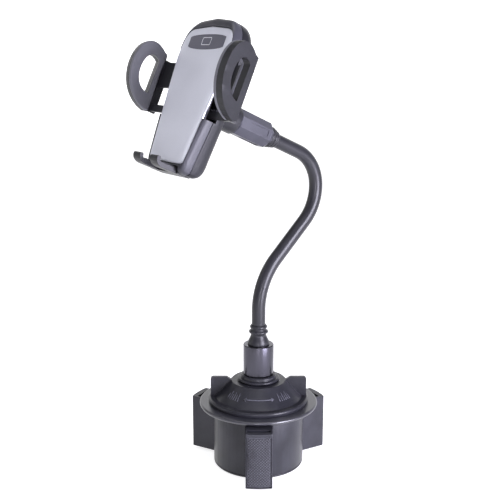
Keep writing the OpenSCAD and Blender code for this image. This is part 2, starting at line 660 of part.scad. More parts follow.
// rack teeth point to -z; phase 0.5 centres a space on x = 0, phase 0 centres a tooth on it
module rack_teeth(x0, x1, phase) {
    first = ceil(x0 / rack_pitch + 0.5 - phase);
    last = floor(x1 / rack_pitch - 0.5 - phase);
    for (i = [first:last]) translate([(i + phase) * rack_pitch, 0]) polygon([
        [-1.04 * gear_m, rack_root + 0.1], [-0.36 * gear_m, -rack_tip],
        [0.36 * gear_m, -rack_tip], [1.04 * gear_m, rack_root + 0.1]]);
}
// a pinion with an odd number of teeth has a tooth at its top and a space at its bottom
low_phase = pinion_teeth % 2 == 0 ? 0.5 : 0;
rack_overrun = 8;
ratchet_pitch = 3;
ratchet_h = 0.8;
short_bar = jaw_travel + pitch_r + gear_m + 1.2;
// left arm: rack on its upper bar, in the front layer, and ratchet teeth along the bar's top
module arm_left() color("#2a2a2e") in_cradle() {
    y = arm_layers[0];
    jaw_only(-1);
    slab(y, y + arm_t) {
        translate([-jaw_in - 2, rack_hi + rack_root])
            square([jaw_in + 2 + rack_overrun, arm_hi_top - ratchet_h - rack_hi - rack_root]);
        translate([0, rack_hi]) rack_teeth(-jaw_travel - 14, rack_overrun, 0.5);
        for (i = [-8:1]) translate([i * ratchet_pitch, arm_hi_top - ratchet_h])
            polygon([[0, -0.1], [ratchet_pitch - 0.3, -0.1], [0, ratchet_h]]);
        translate([-jaw_in - 2, arm_lo_low]) square([jaw_in + 2 - short_bar, 5]);
    }
}
// right arm: rack on its lower bar, in the rear layer
module arm_right() color("#2a2a2e") in_cradle() {
    y = arm_layers[1];
    jaw_only(1);
    slab(y, y + arm_t) {
        translate([-rack_overrun, arm_lo_low])
            square([jaw_in + 2 + rack_overrun, rack_lo - rack_root - arm_lo_low]);
        translate([0, rack_lo]) mirror([0, 1]) rack_teeth(-rack_overrun, jaw_travel + 14, low_phase);
        translate([short_bar, rack_hi + rack_root])
            square([jaw_in + 2 - short_bar, arm_hi_top - rack_hi - rack_root]);
    }
}
module jaw_pad(side) color("#3c3c42") in_cradle() mirror([side < 0 ? 1 : 0, 0, 0]) difference() {
    jaw_ring(0, jaw_pad_t - 0.02);
    translate([jaw_in - 10, -0.2, -50]) cube([30, 20, 100]);
}

// ---- pinion with involute teeth
function involute(base, t) = let (roll = t * PI / 180)
    [base * (cos(t) + roll * sin(t)), base * (sin(t) - roll * cos(t))];
function polar_angle(p) = atan2(p[1], p[0]);
base_r = pitch_r * cos(20);
tip_r = pitch_r + 0.6 * gear_m;
root_r = pitch_r - 0.85 * gear_m;
function roll_at(r) = r <= base_r ? 0 : sqrt(pow(r / base_r, 2) - 1) * 180 / PI;
pinion_backlash = 1.6;
half_tooth = 90 / pinion_teeth - pinion_backlash + polar_angle(involute(base_r, roll_at(pitch_r)));
function flank_point(r) = let (
    p = involute(base_r, roll_at(r)), a = half_tooth - polar_angle(p), q = max(r, base_r))
    [q * cos(a), q * sin(a)];
function turned(p, a) = [p[0] * cos(a) - p[1] * sin(a), p[0] * sin(a) + p[1] * cos(a)];
function tooth_outline() = let (
    foot = [root_r * cos(half_tooth), root_r * sin(half_tooth)],
    rise = [for (i = [0:6]) flank_point(base_r + (tip_r - base_r) * i / 6)])
    concat([[foot[0], -foot[1]]], [for (p = rise) [p[0], -p[1]]], [for (i = [6:-1:0]) rise[i]], [foot]);
module pinion() color("gainsboro") in_cradle() translate([0, 0, pinion_z]) difference() {
    slab(arm_layers[0] - 0.1, arm_layers[1] + arm_t + 0.1) polygon([
        for (i = [0:pinion_teeth - 1]) for (p = tooth_outline()) turned(p, 90 + 360 / pinion_teeth * i)]);
    translate([0, 20, 0]) rotate([90, 0, 0]) cylinder(r = axle_r + run_fit, h = 40);
}
// flat spiral spring that opens the arms
spring_turns = 3;
spring_steps = 72;
function spiral(i, off) = let (
    a = 360 * spring_turns * i / spring_steps, r = 4.1 + 0.95 * a / 360 + off)
    [r * cos(a), r * sin(a)];
module pinion_spring() color("silver") in_cradle() translate([0, 0, pinion_z])
    slab(arm_layers[1] + arm_t + 0.5, arm_layers[1] + arm_t + 2.1) polygon(concat(
        [for (i = [0:spring_steps]) spiral(i, 0.15)], [for (i = [spring_steps:-1:0]) spiral(i, -0.15)]));

// ---- release button, its latch pawl and spring
pawl_y = arm_layers[0] + 0.2;
pawl_t = 1.6;
module release_button() color("#44444a") in_cradle() translate([0, 0, button_z]) rotate([90, 0, 0])
    translate([0, 0, -shell_back - button_proud]) rotate_extrude() polygon([[0, 0], [button_r - 1, 0],
        [button_r, 0.8], [button_r, button_cap], [button_stem_r, button_cap],
        [button_stem_r, shell_back + button_proud - pawl_y - pawl_t],
        [0, shell_back + button_proud - pawl_y - pawl_t]]);
module latch_pawl() color("silver") in_cradle() {
    slab(pawl_y, pawl_y + pawl_t) {
        translate([-4, arm_hi_top + 0.6]) square([8, button_z - arm_hi_top + 1]);
        translate([0, button_z]) circle(r = 4);
    }
}
function coil(r, pitch, turns, n) = [for (i = [0:n]) let (a = 360 * turns * i / n)
    [r * cos(a), r * sin(a), pitch * turns * i / n]];
// a wire swept along a coil
module wire(points, r, sides = 6) {
    n = len(points);
    rings = [for (i = [0:n - 1]) let (
        d = points[min(i + 1, n - 1)] - points[max(i - 1, 0)],
        t = d / norm(d), u = cross(t, [0, 0, 1]) / norm(cross(t, [0, 0, 1])), v = cross(u, t))
        for (j = [0:sides - 1]) points[i] + r * (cos(360 * j / sides) * u + sin(360 * j / sides) * v)];
    faces = concat(
        [[for (j = [0:sides - 1]) j]],
        [for (i = [0:n - 2]) for (j = [0:sides - 1]) let (k = (j + 1) % sides)
            [i * sides + j, (i + 1) * sides + j, (i + 1) * sides + k, i * sides + k]],
        [[for (j = [sides - 1:-1:0]) (n - 1) * sides + j]]);
    polyhedron(rings, faces, convexity = 6);
}
spring_wire_r = 0.3;
spring_coils = 5;
spring_len = shell_back + button_proud - button_cap - spring_seat - 2 * spring_wire_r - 0.1;
module button_spring() color("silver") in_cradle()
    translate([0, spring_seat + spring_wire_r + 0.05, button_z]) rotate([-90, 0, 0])
        wire(coil(3.3, spring_len / spring_coils, spring_coils, 60), spring_wire_r);

// ---- sliding feet under the phone
foot_curl = 5;       // height of a hook's tip above the foot's underside
module foot_hook(x) translate([x - foot_w / 2, 0, 0]) rotate([90, 0, 90]) linear_extrude(foot_w)
    translate([0, -cradle_low]) polygon(concat(
        [[0, -0.3], [0, foot_thick], [-foot_reach + 4, foot_thick]],
        curve([[-foot_reach + 4, foot_thick], [-foot_reach + 2, foot_thick + 0.2],
               [-foot_reach + 1.7, foot_thick + 1], [-foot_reach + 1.6, foot_curl]], 6),
        arc(-foot_reach + 0.3, foot_curl, 1.3, 0, 180, 6),
        curve([[-foot_reach - 1, foot_curl], [-foot_reach - 1, 1.6],
               [-foot_reach + 2, -0.3], [-foot_reach + 6, -0.3]], 8)));
module foot_carriage() color("#2a2a2e") in_cradle() {
    translate([-notch_half + gap, -1, -cradle_low - 0.3]) cube([2 * notch_half - 2 * gap, 10, 4.5]);
    translate([-9, 7, -cradle_low]) cube([18, 2, 27]);
    for (side = [-1, 1]) foot_hook(side * foot_half);
}
module foot_pads() color("#111111") in_cradle() for (side = [-1, 1])
    translate([side * foot_half - foot_w / 2 + 0.8, -foot_reach + 4.2, -cradle_low + foot_thick + 0.02])
        cube([foot_w - 1.6, foot_reach - 5.4, 0.8]);

base_body();
base_floor();
foot_pad();
floor_screws();
flange_cover();
centre_post();
dial_cap();
cam_disc();
dial_screws();
wing_shell(0);  // wing_shell_1
wing_shell(1);  // wing_shell_2
wing_shell(2);  // wing_shell_3
wing_pad(0);  // wing_pad_1
wing_pad(1);  // wing_pad_2
wing_pad(2);  // wing_pad_3
follower_pin(0);  // follower_pin_1
follower_pin(1);  // follower_pin_2
follower_pin(2);  // follower_pin_3
collar_ring();
lower_ferrule();
lower_boot();
for (k = [0:neck_joints]) {
    neck_sleeve(k);
    neck_core(k);
}
upper_collar();
ball_socket();
ball_nut();
ball();
ball_core();
ball_stud();
rear_shell();
front_frame();
shell_screws();
face_plate();
badge();
arm_left();
arm_right();
jaw_pad(-1);  // jaw_pad_left
jaw_pad(1);  // jaw_pad_right
pinion();
pinion_spring();
release_button();
latch_pawl();
button_spring();
foot_carriage();
foot_pads();
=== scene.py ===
import math
import json
import bpy
import bmesh
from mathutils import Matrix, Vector


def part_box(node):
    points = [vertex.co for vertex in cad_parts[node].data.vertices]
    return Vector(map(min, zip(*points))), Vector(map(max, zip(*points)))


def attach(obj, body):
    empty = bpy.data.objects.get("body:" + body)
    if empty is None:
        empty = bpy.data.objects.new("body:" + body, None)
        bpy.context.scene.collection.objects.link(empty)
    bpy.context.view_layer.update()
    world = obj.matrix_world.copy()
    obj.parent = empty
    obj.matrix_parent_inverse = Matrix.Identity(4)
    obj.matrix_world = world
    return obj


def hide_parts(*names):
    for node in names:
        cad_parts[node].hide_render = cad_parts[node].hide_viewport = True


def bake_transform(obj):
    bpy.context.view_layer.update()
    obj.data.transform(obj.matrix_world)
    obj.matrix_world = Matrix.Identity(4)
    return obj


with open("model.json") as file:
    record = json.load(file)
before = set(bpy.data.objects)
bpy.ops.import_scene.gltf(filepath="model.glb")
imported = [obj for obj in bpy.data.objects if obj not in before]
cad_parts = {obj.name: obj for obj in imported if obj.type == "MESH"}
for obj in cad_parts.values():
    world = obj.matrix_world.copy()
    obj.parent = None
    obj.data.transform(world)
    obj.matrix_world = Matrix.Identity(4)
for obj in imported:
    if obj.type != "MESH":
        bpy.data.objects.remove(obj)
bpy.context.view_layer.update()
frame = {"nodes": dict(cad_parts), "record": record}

# ---------------------------------------------------------------- foot and bottom cap
# The base stands on a die-cut rubber disc. It is glued in the recess of a moulded bottom cap,
# and three screws hold the cap to the body through the disc's notches.


class Shade:
    """A shader socket in one material. Python's operators add its Math nodes."""

    def __init__(self, tree, socket=None):
        self.tree = tree
        self.socket = socket

    def node(self, kind, sockets=None, out=0, stops=None, **settings):
        """Adds a node: its settings first, then a ramp's stops, then each socket's value or link."""
        new = self.tree.nodes.new("ShaderNode" + kind)
        for name, value in settings.items():
            setattr(new, name, value)
        for place, (position, colour) in enumerate(stops or []):
            ramp = new.color_ramp.elements
            stop = ramp[place] if place < 2 else ramp.new(position)
            stop.position = position
            stop.color = (*colour, 1)
        for name, value in (sockets or {}).items():
            if isinstance(value, Shade):
                self.tree.links.new(value.socket, new.inputs[name])
            else:
                new.inputs[name].default_value = value
        return Shade(self.tree, new.outputs[out])

    def math(self, operation, other):
        return self.node("Math", {0: self, 1: other}, operation=operation)

    def __add__(self, other):
        return self.math("ADD", other)

    def __mul__(self, other):
        return self.math("MULTIPLY", other)

    __radd__ = __add__
    __rmul__ = __mul__

    def over(self, low, high):
        """0 below low, 1 above high, smooth between."""
        return self.node("MapRange", {"Value": self, "From Min": low, "From Max": high},
                         interpolation_type="SMOOTHSTEP")

    def tint(self, colour_a, colour_b):
        """The colour between a and b that this value picks."""
        return self.node("Mix", {0: self, 6: (*colour_a, 1), 7: (*colour_b, 1)}, out=2, data_type="RGBA")


def new_material(name):
    """An empty material with a principled shader, and a Shade to build on."""
    material = bpy.data.materials.new(name)
    material.use_nodes = True
    tree = material.node_tree
    shader = tree.nodes["Principled BSDF"]
    return material, shader, Shade(tree)


def feed(material, shader, **inputs):
    """Links Shades to the shader's sockets, or sets plain values on them."""
    for name, value in inputs.items():
        socket = shader.inputs[name.replace("_", " ")]
        if isinstance(value, Shade):
            material.node_tree.links.new(value.socket, socket)
        else:
            socket.default_value = value


def moulded(name, dark, light, rough, grain=0.35, grain_scale=1400, specular=0.28, wear=0.35):
    """Moulded plastic or rubber: spark-eroded grain, soft colour drift, worn pale edges."""
    material, shader, base = new_material(name)
    place = base.node("TexCoord", out=3)
    fine = base.node("TexNoise", {"Vector": place, "Scale": grain_scale, "Detail": 3.0})
    drift = base.node("TexNoise", {"Vector": place, "Scale": 60.0, "Detail": 4.0})
    edge = base.node("NewGeometry", out=7).over(0.505, 0.56)
    worn = edge * drift.over(0.35, 0.6)
    colour = (drift * 0.5 + worn * wear + fine * 0.15).tint(dark, light)
    bump = base.node("Bump", {"Strength": grain, "Distance": 0.00006, "Height": fine})
    feed(material, shader, Base_Color=colour, Roughness=rough - 0.06 + 0.1 * drift + 0.05 * fine,
         Normal=bump, Specular_IOR_Level=specular)
    return material


def rounded(piece, width, steps=3, angle=30):
    """Breaks a piece's sharp edges."""
    rounding = piece.modifiers.new("rounding", "BEVEL")
    rounding.width = width
    rounding.segments = steps
    rounding.limit_method = "ANGLE"
    rounding.angle_limit = math.radians(angle)
    rounding.harden_normals = True


def dress(node, material, bevel=0.0004, steps=3, angle=30):
    """Gives a CAD node its material, and breaks its sharp edges as a mould does."""
    piece = frame["nodes"][node]
    piece.data.materials.clear()
    piece.data.materials.append(material)
    weld = piece.modifiers.new("weld", "WELD")
    weld.merge_threshold = 0.000005
    if bevel:
        rounded(piece, bevel, steps, angle)


body_plastic = moulded("body_plastic", (0.011, 0.011, 0.014), (0.030, 0.030, 0.038), 0.34)
foot_rubber = moulded("foot_rubber", (0.008, 0.008, 0.009), (0.03, 0.03, 0.032), 0.8,
                      grain=0.8, grain_scale=700)


def metal(name, colour, rough, brushed=0.25):
    """Turned or drawn metal with fine lines and a dull film."""
    material, shader, base = new_material(name)
    place = base.node("TexCoord", out=3)
    lines = base.node("TexNoise", {"Vector": place, "Scale": 900.0, "Detail": 2.0})
    film = base.node("TexNoise", {"Vector": place, "Scale": 90.0, "Detail": 3.0})
    bump = base.node("Bump", {"Strength": brushed, "Distance": 0.00004, "Height": lines})
    worn = tuple(0.7 * c for c in colour)
    feed(material, shader, Base_Color=film.tint(worn, colour), Metallic=1.0,
         Roughness=rough + 0.12 * film + 0.04 * lines, Normal=bump)
    return material


steel = metal("steel", (0.62, 0.62, 0.64), 0.24)
dress("foot_pad", foot_rubber, 0.0003)
dress("base_floor", body_plastic, 0.0003)
dress("floor_screws", steel, 0.0001)

# ---------------------------------------------------------------- body, flange and post
# The body is one moulded cup with three windows. A cover ring with a rolled edge snaps on its rim,
# and the centre post is screwed up through the cup.
dress("base_body", body_plastic, 0.0003)
flange_plastic = moulded("flange_plastic", (0.014, 0.014, 0.018), (0.036, 0.036, 0.046), 0.30, specular=0.8)
dress("flange_cover", flange_plastic, 0.0002)
dress("centre_post", body_plastic, 0.0003)

# ---------------------------------------------------------------- wings
# Each wing is a hollow moulded slide. A steel pin in its tongue runs in the cam disc under the dial,
# and a rubber pad with a diamond hatch is let into its curved face.
wing_plastic = moulded("wing_plastic", (0.015, 0.015, 0.019), (0.036, 0.036, 0.045), 0.38)
pad_rubber = moulded("pad_rubber", (0.006, 0.006, 0.008), (0.06, 0.06, 0.072), 0.62, grain=0.6, wear=1.6)
WING_ANGLES = [-36, 84, 204]
HATCH_PITCH = 0.0021
HATCH_HEIGHT = 0.00055
PAD_BORDER = 0.0011
GROOVE_DEPTH = 0.0004
PAD_THICK = 0.0013


def grid_mesh(name, rows, columns, point):
    """A mesh whose point at each row and column comes from a function."""
    mesh = bpy.data.meshes.new(name)
    corners = [point(i, j) for i in range(rows) for j in range(columns)]
    faces = [(i * columns + j, i * columns + j + 1, (i + 1) * columns + j + 1, (i + 1) * columns + j)
             for i in range(rows - 1) for j in range(columns - 1)]
    mesh.from_pydata(corners, [], faces)
    return mesh


def add_piece(mesh, material, body, replaces=(), smooth=True):
    """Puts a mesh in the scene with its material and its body."""
    piece = bpy.data.objects.new(mesh.name, mesh)
    bpy.context.scene.collection.objects.link(piece)
    mesh.materials.append(material)
    for face in mesh.polygons:
        face.use_smooth = smooth
    if body:
        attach(piece, body)
    if replaces:
        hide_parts(*replaces)
    return piece


def wing_pad_mesh(index):
    """The pad as a curved slab: a plain border, and diamonds raised inside it."""
    node = f"wing_pad_{index}"
    low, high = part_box(node)
    turn = math.radians(WING_ANGLES[index - 1])
    face_r = max(math.hypot(v.co.x, v.co.y) for v in frame["nodes"][node].data.vertices)
    half = max(abs(v.co.y * math.cos(turn) - v.co.x * math.sin(turn))
               for v in frame["nodes"][node].data.vertices)
    height = high.z - low.z
    columns = 61
    rows = 141

    def point(i, j):
        across = -half + 2 * half * j / (columns - 1)
        up = low.z + height * i / (rows - 1)
        inset = min(half - abs(across), up - low.z, high.z - up)
        wave = abs(((across + up) / HATCH_PITCH) % 1 - 0.5) + abs(((across - up) / HATCH_PITCH) % 1 - 0.5)
        relief = HATCH_HEIGHT * (1 - wave) if inset > PAD_BORDER else 0.0
        groove = GROOVE_DEPTH if PAD_BORDER * 0.75 < inset <= PAD_BORDER else 0.0
        r = face_r - HATCH_HEIGHT + relief - groove
        if inset < 1e-6:
            r -= PAD_THICK
        angle = turn + math.asin(max(-1, min(1, across / r)))
        return (r * math.cos(angle), r * math.sin(angle), up)

    return grid_mesh(f"hatched_pad_{index}", rows, columns, point)


for index in (1, 2, 3):
    dress(f"wing_shell_{index}", wing_plastic, 0.0004)
    dress(f"follower_pin_{index}", steel, 0.0001)
    add_piece(wing_pad_mesh(index), pad_rubber, f"wing_{index}", [f"wing_pad_{index}"])

# ---------------------------------------------------------------- dial
# The dial is a moulded cone on a grip ring with two thin ears. A nylon disc with three spiral slots
# is screwed under it, and its turn is marked with plain ticks and a double arrow.
dial_plastic = moulded("dial_plastic", (0.009, 0.009, 0.012), (0.026, 0.026, 0.033), 0.32)
nylon = moulded("nylon", (0.55, 0.54, 0.5), (0.75, 0.74, 0.7), 0.45, grain=0.2)
# painted highlight: the embossed marks are tinted lighter than the cone so that they show
mark_highlight_tint = moulded("mark_highlight_tint", (0.05, 0.05, 0.062), (0.085, 0.085, 0.105), 0.45, grain=0.2)
dress("dial_cap", dial_plastic, 0.0005)
CONE_FOOT = (0.0315, 0.0527)
CONE_TOP = (0.0205, 0.0640)
MARK_PROUD = 0.00012
TICKS = 6
TICK_FROM, TICK_PITCH, TICK_HALF = 34, 4, 0.7
TICK_FOOT = 0.3
ARROW_REACH, ARROW_TIP = 20, 25


def on_cone(turn, share):
    """A point just off the dial's cone: an angle about the axis and a share of the way up."""
    r = CONE_FOOT[0] + (CONE_TOP[0] - CONE_FOOT[0]) * share + MARK_PROUD
    z = CONE_FOOT[1] + (CONE_TOP[1] - CONE_FOOT[1]) * share + MARK_PROUD
    return Vector((r * math.cos(turn), r * math.sin(turn), z))


def cone_strip(name, corners, steps=14):
    """A thin raised strip on the cone between two edges, each from a first to a last (turn, share)."""
    (a0, a1), (b0, b1) = corners
    mesh = bpy.data.meshes.new(name)
    points = []
    for i in range(steps + 1):
        t = i / steps
        points.append(on_cone(a0[0] + (a1[0] - a0[0]) * t, a0[1] + (a1[1] - a0[1]) * t))
        points.append(on_cone(b0[0] + (b1[0] - b0[0]) * t, b0[1] + (b1[1] - b0[1]) * t))
    mesh.from_pydata(points, [], [(2 * i, 2 * i + 2, 2 * i + 3, 2 * i + 1) for i in range(steps)])
    return mesh


def join_meshes(name, meshes):
    """Several meshes as one."""
    whole = bmesh.new()
    for mesh in meshes:
        whole.from_mesh(mesh)
    bmesh.ops.solidify(whole, geom=whole.faces[:], thickness=-0.0001)
    joined = bpy.data.meshes.new(name)
    whole.to_mesh(joined)
    whole.free()
    return joined


# the marks face the same way as the first wing
MARK_FRONT = math.radians(WING_ANGLES[0])
marks = []
for side in (-1, 1):
    for tick in range(TICKS):
        turn = MARK_FRONT + side * math.radians(TICK_FROM + TICK_PITCH * tick)
        top = TICK_FOOT + (0.30 if tick % 2 else 0.42)
        half = math.radians(TICK_HALF)
        marks.append(cone_strip("tick", [((turn - half, TICK_FOOT), (turn - half, top)),
                                         ((turn + half, TICK_FOOT), (turn + half, top))], 3))
    tip = MARK_FRONT + side * math.radians(ARROW_TIP)
    neck = MARK_FRONT + side * math.radians(ARROW_REACH)
    marks.append(cone_strip("head", [((neck, 0.36), (tip, 0.47)), ((neck, 0.58), (tip, 0.475))], 4))
reach = math.radians(ARROW_REACH)
marks.append(cone_strip("arrow_arc", [((MARK_FRONT - reach, 0.44), (MARK_FRONT + reach, 0.44)),
                                      ((MARK_FRONT - reach, 0.50), (MARK_FRONT + reach, 0.50))], 24))
add_piece(join_meshes("dial_marks", marks), mark_highlight_tint, "dial")
dress("cam_disc", nylon, 0.0)
dress("dial_screws", steel, 0.0001)

# ---------------------------------------------------------------- collar, ferrule and boot
# A stepped collar ring sits on the post. The ferrule is a turned tube, lacquered dark, that screws on
# the post over it, and a moulded rubber boot closes its mouth round the neck.
gunmetal = metal("gunmetal", (0.085, 0.083, 0.10), 0.17, brushed=0.015)
boot_rubber = moulded("boot_rubber", (0.008, 0.008, 0.010), (0.035, 0.035, 0.04), 0.34, grain=0.2)
dress("collar_ring", dial_plastic, 0.0002)
dress("lower_ferrule", gunmetal, 0.0002)
# the boot's outline from its foot up, as (radius, height above the ferrule's mouth)
BOOT_OUTLINE = [(0.0030, -0.0008), (0.0078, -0.0008), (0.0081, 0.0006), (0.0077, 0.0024), (0.0067, 0.0044),
                (0.0059, 0.0062), (0.0056, 0.0076), (0.0060, 0.0083), (0.0069, 0.0089), (0.0072, 0.0096),
                (0.0069, 0.0103), (0.0060, 0.0109), (0.0056, 0.0117), (0.0059, 0.0124), (0.0064, 0.0130),
                (0.0064, 0.0137), (0.0059, 0.0143), (0.0053, 0.0149)]
LATHE_SIDES = 72


def skin(name, rings):
    """Joins rings of equal length into an open tube."""
    mesh = bpy.data.meshes.new(name)
    count = len(rings[0])
    faces = [(i * count + j, i * count + (j + 1) % count,
              (i + 1) * count + (j + 1) % count, (i + 1) * count + j)
             for i in range(len(rings) - 1) for j in range(count)]
    mesh.from_pydata([p for ring in rings for p in ring], [], faces)
    return mesh


def lathe(name, outline, foot):
    """Turns an outline of (radius, height) pairs about the body's axis, from the height foot."""
    turns = [2 * math.pi * j / LATHE_SIDES for j in range(LATHE_SIDES)]
    return skin(name, [[(r * math.cos(turn), r * math.sin(turn), foot + z) for turn in turns]
                       for r, z in outline])


FERRULE_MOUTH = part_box("lower_ferrule")[1].z
add_piece(lathe("turned_boot", BOOT_OUTLINE, FERRULE_MOUTH), boot_rubber, "base",
          ["lower_boot"])

# ---------------------------------------------------------------- gooseneck
# A wound steel core in one smooth rubber sleeve. The frame cuts it into links with hinges between
# them, so each stretch of sleeve here runs from mid-link to mid-link across its hinge, baked in place.
sleeve_rubber = moulded("sleeve_rubber", (0.010, 0.010, 0.012), (0.03, 0.03, 0.035), 0.30, grain=0.15)
SLEEVE_R = 0.005
SLEEVE_SIDES = 40
SLEEVE_STEP = 0.0012
SLEEVE_TUCK = 0.0002
BLEND_HALF = 0.008
NECK_Z = FERRULE_MOUTH
# stretches of the neck's path as (length, radius, turn in degrees), from the ferrule's top
BENDS = [(0.0252, 0, 0), (0, 0.052, 23), (0, 0.052, 23), (0.036, 0, 0),
         (0, 0.036, -46), (0, 0.029, -33), (0, 0.029, -33), (0.0233, 0, 0)]
STRETCHES = [(length or radius * math.radians(abs(turn)), radius, math.radians(turn))
             for length, radius, turn in BENDS]


def neck_point(s):
    """The path's point and its angle from +Z towards +Y at the length s."""
    y, z, angle = 0.0, NECK_Z, 0.0
    for place, (length, radius, turn) in enumerate(STRETCHES):
        last = place == len(STRETCHES) - 1
        step = s if last else min(s, length)
        if radius:
            after = angle + turn * step / length
            side = math.copysign(radius, turn)
            y, z, angle = (y + side * (math.cos(angle) - math.cos(after)),
                           z + side * (math.sin(after) - math.sin(angle)), after)
        else:
            y, z = y + step * math.sin(angle), z + step * math.cos(angle)
        s -= step
        if s <= 1e-9 or last:
            break
    return Vector((0, y, z)), angle


def sleeve_mesh(name, start, end):
    """A round tube along the path, open at both ends."""
    rows = max(4, round((end - start) / SLEEVE_STEP))

    def point(i, j):
        centre, angle = neck_point(start + (end - start) * i / rows)
        turn = 2 * math.pi * j / SLEEVE_SIDES
        side = Vector((0, math.cos(angle), -math.sin(angle)))
        return centre + SLEEVE_R * (math.cos(turn) * Vector((1, 0, 0)) + math.sin(turn) * side)

    return skin(name, [[point(i, j) for j in range(SLEEVE_SIDES)] for i in range(rows + 1)])


starts = [sum(length for length, _, _ in STRETCHES[:k]) for k in range(len(STRETCHES) + 1)]
middles = [(starts[k] + starts[k + 1]) / 2 for k in range(1, 7)]
cuts = [0.0] + middles + [starts[-1] + SLEEVE_TUCK]
for k in range(7):
    tube = sleeve_mesh(f"sleeve_{k + 1}", cuts[k], cuts[k + 1])
    sleeve = add_piece(tube, sleeve_rubber, None,
                       [f"neck_sleeve_{k}"] + (["neck_sleeve_7"] if k == 6 else []))
    joint_at = starts[k + 1]
    reach = min(BLEND_HALF, joint_at - cuts[k], cuts[k + 1] - joint_at)
    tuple(neck_point(joint_at - reach)[0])
    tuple(neck_point(joint_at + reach)[0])
    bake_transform(sleeve)
for k in range(8):
    dress(f"neck_core_{k}", steel, 0.0)

# ---------------------------------------------------------------- upper collar, ball joint and nut
# The ribbed collar is moulded on the neck. The socket's threaded stem holds the core's end, and the
# octagonal nut with its sunk grip panels squeezes the socket's lips on the ball.
nut_plastic = moulded("nut_plastic", (0.028, 0.028, 0.036), (0.066, 0.066, 0.082), 0.31)
black_plastic = moulded("black_plastic", (0.009, 0.009, 0.011), (0.03, 0.03, 0.035), 0.36)
dress("upper_collar", boot_rubber, 0.0)
dress("ball_socket", black_plastic, 0.0003)
dress("ball_nut", nut_plastic, 0.0006, 4, 20)
dress("ball", black_plastic, 0.0001)
dress("ball_core", steel, 0.0)
dress("ball_stud", steel, 0.0003)

# ---------------------------------------------------------------- cradle casing
# Two moulded halves, a satin frame in front and a black shell behind, held by four screws. Both
# follow one outline, and are cut away at the sides for the arms and below for the foot slide.
frame_plastic = moulded("frame_plastic", (0.030, 0.030, 0.037), (0.056, 0.056, 0.069), 0.34)
shell_plastic = moulded("shell_plastic", (0.007, 0.007, 0.009), (0.018, 0.018, 0.023), 0.36)
mounts = {mount["name"]: mount for mount in frame["record"]["mounts"]}
back_axis = -Vector(mounts["phone_face"]["axis"])
up_axis = Vector((1, 0, 0)).cross(back_axis)
PLATE_FRONT = -0.0028
cradle_origin = Vector(mounts["phone_face"]["pos_m"]) - PLATE_FRONT * back_axis
HIP, SHOULDER = 0.024, 0.0305
CRADLE_TOP, CRADLE_LOW = 0.057, 0.0505
PLATE_TOP, PLATE_LOW = 0.050, 0.0445
WINDOW = (-0.013, 0.034)
SEAM, SHELL_BACK = 0.005, 0.0175
ROUND_STEPS = 160


def in_cradle(x, y, z):
    """A point given across, back and up the cradle, in the row frame."""
    return cradle_origin + Vector((x, 0, 0)) + y * back_axis + z * up_axis


def bezier(points, steps):
    """Points along a cubic curve."""
    p0, p1, p2, p3 = (Vector(p) for p in points)
    return [(1 - t) ** 3 * p0 + 3 * t * (1 - t) ** 2 * p1 + 3 * t * t * (1 - t) * p2 + t ** 3 * p3
            for t in (i / steps for i in range(steps + 1))]


def around(half):
    """Radius at even angles round the cradle's axis, for an outline given by its right half."""
    angles = [math.atan2(p[1], p[0]) for p in half]
    radii = []
    for step in range(ROUND_STEPS):
        angle = 2 * math.pi * step / ROUND_STEPS - math.pi / 2
        across, up = abs(math.cos(angle)), math.sin(angle)
        seen = math.atan2(up, across)
        for (x0, z0), (x1, z1), a0, a1 in zip(half, half[1:], angles, angles[1:]):
            if a0 - 1e-9 <= seen <= a1 + 1e-9:
                dx, dz = x1 - x0, z1 - z0
                radii.append(abs((x0 * dz - z0 * dx) / (across * dz - up * dx)))
                break
    return radii


outer_r = around([Vector((0, -CRADLE_LOW))]
                 + bezier([(HIP - 0.007, -CRADLE_LOW), (HIP - 0.001, -CRADLE_LOW),
                           (HIP - 0.001, -CRADLE_LOW + 0.003), (HIP - 0.0004, -CRADLE_LOW + 0.009)], 8)
                 + [Vector((HIP + 0.0046, WINDOW[0])), Vector((SHOULDER, 0.016))]
                 + bezier([(SHOULDER, WINDOW[1] - 0.002), (SHOULDER - 0.0005, WINDOW[1] + 0.010),
                           (SHOULDER - 0.005, CRADLE_TOP - 0.002),
                           (SHOULDER - 0.016, CRADLE_TOP - 0.0014)], 12)
                 + [Vector((0, CRADLE_TOP))])
plate_r = around([Vector((0, -PLATE_LOW))]
                 + bezier([(HIP - 0.008, -PLATE_LOW), (HIP - 0.0035, -PLATE_LOW),
                           (HIP - 0.0026, -PLATE_LOW + 0.0014), (HIP - 0.0022, -PLATE_LOW + 0.006)], 6)
                 + [Vector((SHOULDER - 0.003, 0.004))]
                 + bezier([(SHOULDER - 0.0006, WINDOW[1] - 0.006), (SHOULDER - 0.0008, PLATE_TOP - 0.009),
                           (SHOULDER - 0.0034, PLATE_TOP - 0.0026),
                           (SHOULDER - 0.011, PLATE_TOP - 0.0016)], 10)
                 + [Vector((0, PLATE_TOP))])


def loft(name, rings, joined=False):
    """Skins a list of rings of equal length; joined also skins the last ring to the first."""
    mesh = bpy.data.meshes.new(name)
    count = len(rings[0])
    pairs = len(rings) if joined else len(rings) - 1
    faces = [(i * count + j, i * count + (j + 1) % count,
              (i + 1) % len(rings) * count + (j + 1) % count, (i + 1) % len(rings) * count + j)
             for i in range(pairs) for j in range(count)]
    if not joined:
        faces += [tuple(range(count))[::-1], tuple((len(rings) - 1) * count + j for j in range(count))]
    mesh.from_pydata([p for ring in rings for p in ring], [], faces)
    shape = bmesh.new()
    shape.from_mesh(mesh)
    bmesh.ops.recalc_face_normals(shape, faces=shape.faces)
    shape.to_mesh(mesh)
    shape.free()
    return mesh


def cradle_ring(radii, y):
    """One ring round the cradle at the depth y."""
    ring = []
    for step, r in enumerate(radii):
        angle = 2 * math.pi * step / ROUND_STEPS - math.pi / 2
        ring.append(in_cradle(r * math.cos(angle), y, r * math.sin(angle)))
    return ring


